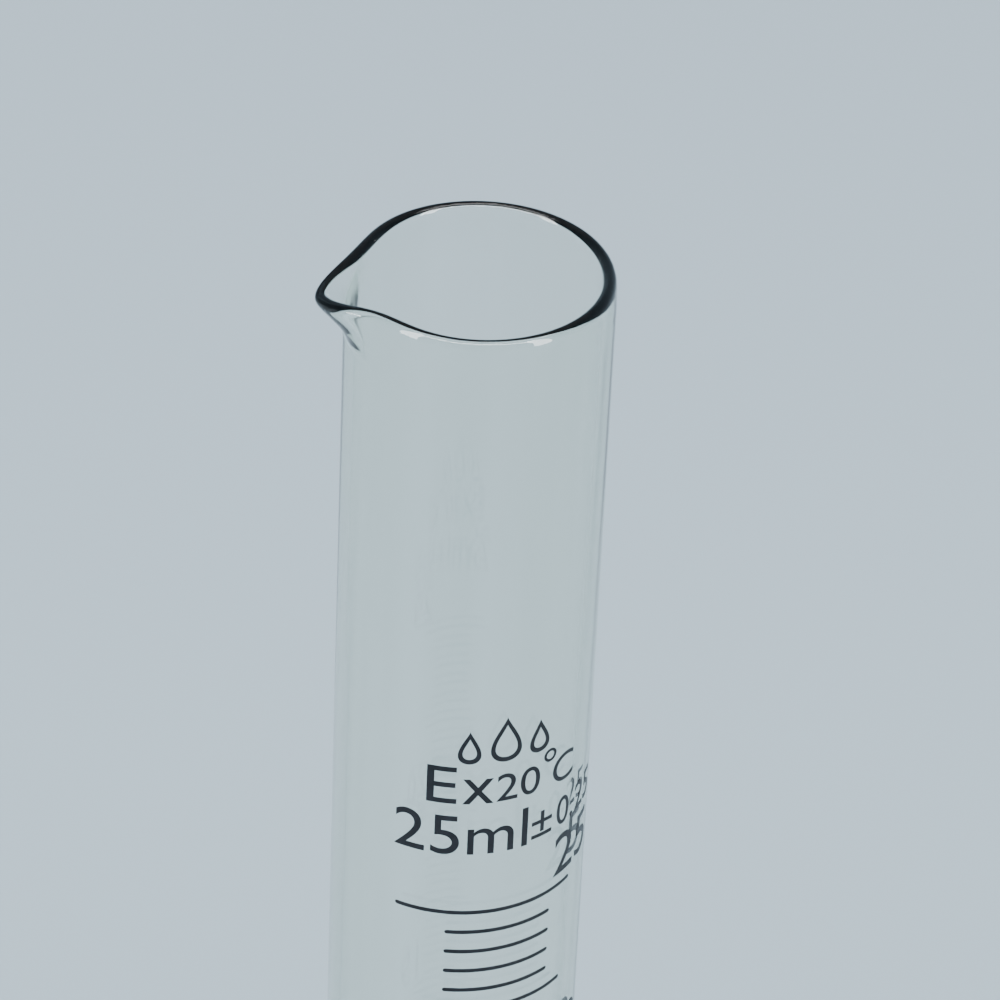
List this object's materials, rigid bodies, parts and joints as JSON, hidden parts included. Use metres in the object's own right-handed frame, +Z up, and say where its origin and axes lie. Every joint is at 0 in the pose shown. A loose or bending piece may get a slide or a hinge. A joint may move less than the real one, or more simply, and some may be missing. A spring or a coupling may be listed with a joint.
{
  "type": "graduated cylinder",
  "caption": "Clear glass graduated cylinder with a pour spout and a black fired-on millilitre scale, standing in a lift-off hexagonal plastic foot.",
  "frame": {"origin": "middle of the foot's underside, on the surface that the cylinder stands on", "axes": "+Z up along the tube, the pour spout towards -X, the scale towards -Y turned 10 degrees to +X"},
  "size_m": [0.0522, 0.046, 0.1599],
  "materials": {
    "glass": "clear, fire-polished",
    "enamel": "satin fired print",
    "foot": "fine moulded grain",
    "grip": "soft matt"
  },
  "bodies": {
    "foot": {"hex_foot": "foot", "grip_cup": "grip"},
    "vessel": {"glass_tube": "glass", "mark_2_5_ml": "enamel", "mark_3_0_ml": "enamel", "mark_3_5_ml": "enamel", "mark_4_0_ml": "enamel", "mark_4_5_ml": "enamel", "mark_5_0_ml": "enamel", "mark_5_5_ml": "enamel", "mark_6_0_ml": "enamel", "mark_6_5_ml": "enamel", "mark_7_0_ml": "enamel", "mark_7_5_ml": "enamel", "mark_8_0_ml": "enamel", "mark_8_5_ml": "enamel", "mark_9_0_ml": "enamel", "mark_9_5_ml": "enamel", "mark_10_0_ml": "enamel", "mark_10_5_ml": "enamel", "mark_11_0_ml": "enamel", "mark_11_5_ml": "enamel", "mark_12_0_ml": "enamel", "mark_12_5_ml": "enamel", "mark_13_0_ml": "enamel", "mark_13_5_ml": "enamel", "mark_14_0_ml": "enamel", "mark_14_5_ml": "enamel", "mark_15_0_ml": "enamel", "mark_15_5_ml": "enamel", "mark_16_0_ml": "enamel", "mark_16_5_ml": "enamel", "mark_17_0_ml": "enamel", "mark_17_5_ml": "enamel", "mark_18_0_ml": "enamel", "mark_18_5_ml": "enamel", "mark_19_0_ml": "enamel", "mark_19_5_ml": "enamel", "mark_20_0_ml": "enamel", "mark_20_5_ml": "enamel", "mark_21_0_ml": "enamel", "mark_21_5_ml": "enamel", "mark_22_0_ml": "enamel", "mark_22_5_ml": "enamel", "mark_23_0_ml": "enamel", "mark_23_5_ml": "enamel", "mark_24_0_ml": "enamel", "mark_24_5_ml": "enamel", "mark_25_0_ml": "enamel"}
  },
  "joints": [
    {"name": "lift_out", "type": "slide", "parent": "foot", "child": "vessel", "axis": [0, 0, 1], "range_m": [0, 0.03]}
  ]
}
